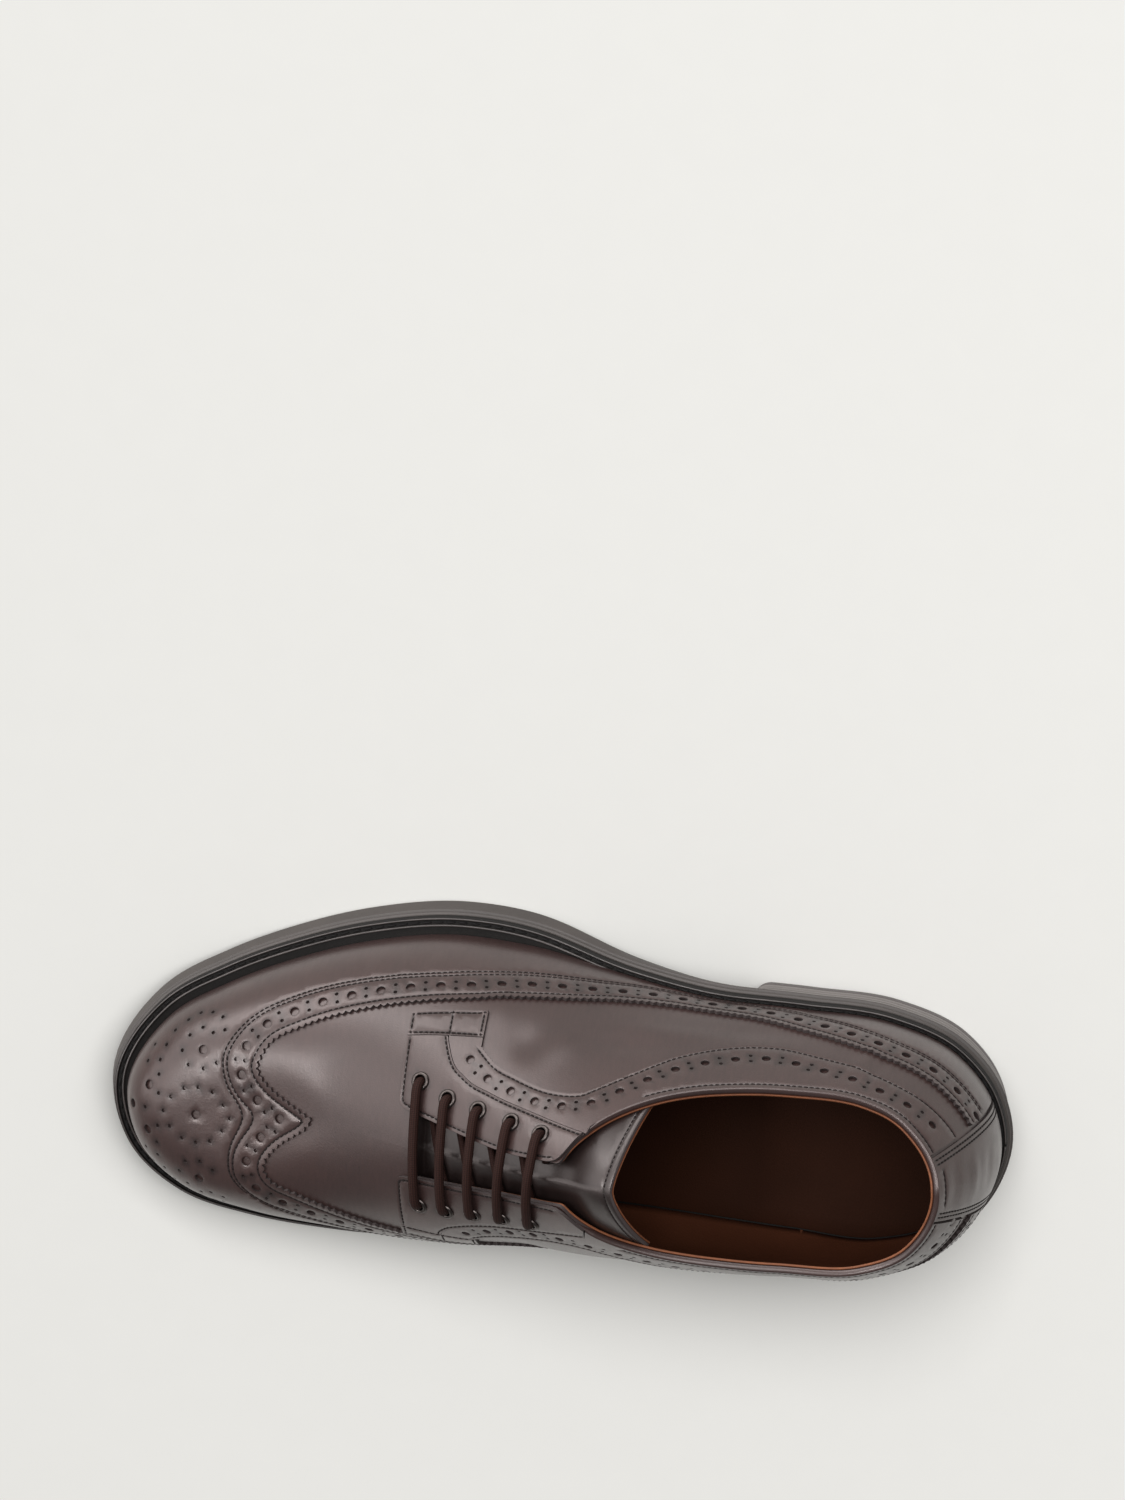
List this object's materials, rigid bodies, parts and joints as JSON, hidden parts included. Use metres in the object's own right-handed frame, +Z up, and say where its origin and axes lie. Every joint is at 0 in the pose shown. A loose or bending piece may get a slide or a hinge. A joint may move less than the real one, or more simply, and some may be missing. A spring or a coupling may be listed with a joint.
{
  "type": "wingtip lace-up shoe",
  "caption": "Right longwing derby shoe with a hollow leather upper, wing cap, open lacing, tongue, welt, outsole and stacked heel.",
  "frame": {"origin": "middle of the shoe's box, on the floor that it stands on", "axes": "+X towards the toe, +Y towards the inner side of the foot, +Z up"},
  "size_m": [0.3044, 0.1162, 0.1138],
  "materials": {
    "upper_leather": "burnished aubergine-brown calf, semi-gloss",
    "overlay_leather": "burnished aubergine-brown calf, semi-gloss, punched and pinked",
    "tongue_leather": "burnished calf, semi-gloss",
    "insole_leather": "cognac lining leather, matt",
    "welt_leather": "near-black waxed welt",
    "outsole_rubber": "taupe-brown, matt, dressed edge",
    "heel_leather": "stacked lifts, dressed edge, matt",
    "top_lift_rubber": "dark rubber top lift, matt",
    "lace_cotton": "round waxed cotton, dark brown",
    "eyelet_metal": "dark nickel"
  },
  "bodies": {
    "root": {"outsole": "outsole_rubber", "heel_block": "heel_leather", "heel_top_lift": "top_lift_rubber", "welt": "welt_leather", "insole": "insole_leather", "upper": "upper_leather", "wing_cap": "overlay_leather", "facing_lateral": "overlay_leather", "facing_medial": "overlay_leather", "facing_tab_lateral": "overlay_leather", "facing_tab_medial": "overlay_leather", "topline_band_lateral": "overlay_leather", "topline_band_medial": "overlay_leather", "heel_stay": "overlay_leather", "tongue": "tongue_leather", "eyelet_lateral_1": "eyelet_metal", "eyelet_medial_1": "eyelet_metal", "lace_bar_1": "lace_cotton", "eyelet_lateral_2": "eyelet_metal", "eyelet_medial_2": "eyelet_metal", "lace_bar_2": "lace_cotton", "eyelet_lateral_3": "eyelet_metal", "eyelet_medial_3": "eyelet_metal", "lace_bar_3": "lace_cotton", "eyelet_lateral_4": "eyelet_metal", "eyelet_medial_4": "eyelet_metal", "lace_bar_4": "lace_cotton", "eyelet_lateral_5": "eyelet_metal", "eyelet_medial_5": "eyelet_metal", "lace_bar_5": "lace_cotton"}
  },
  "joints": []
}
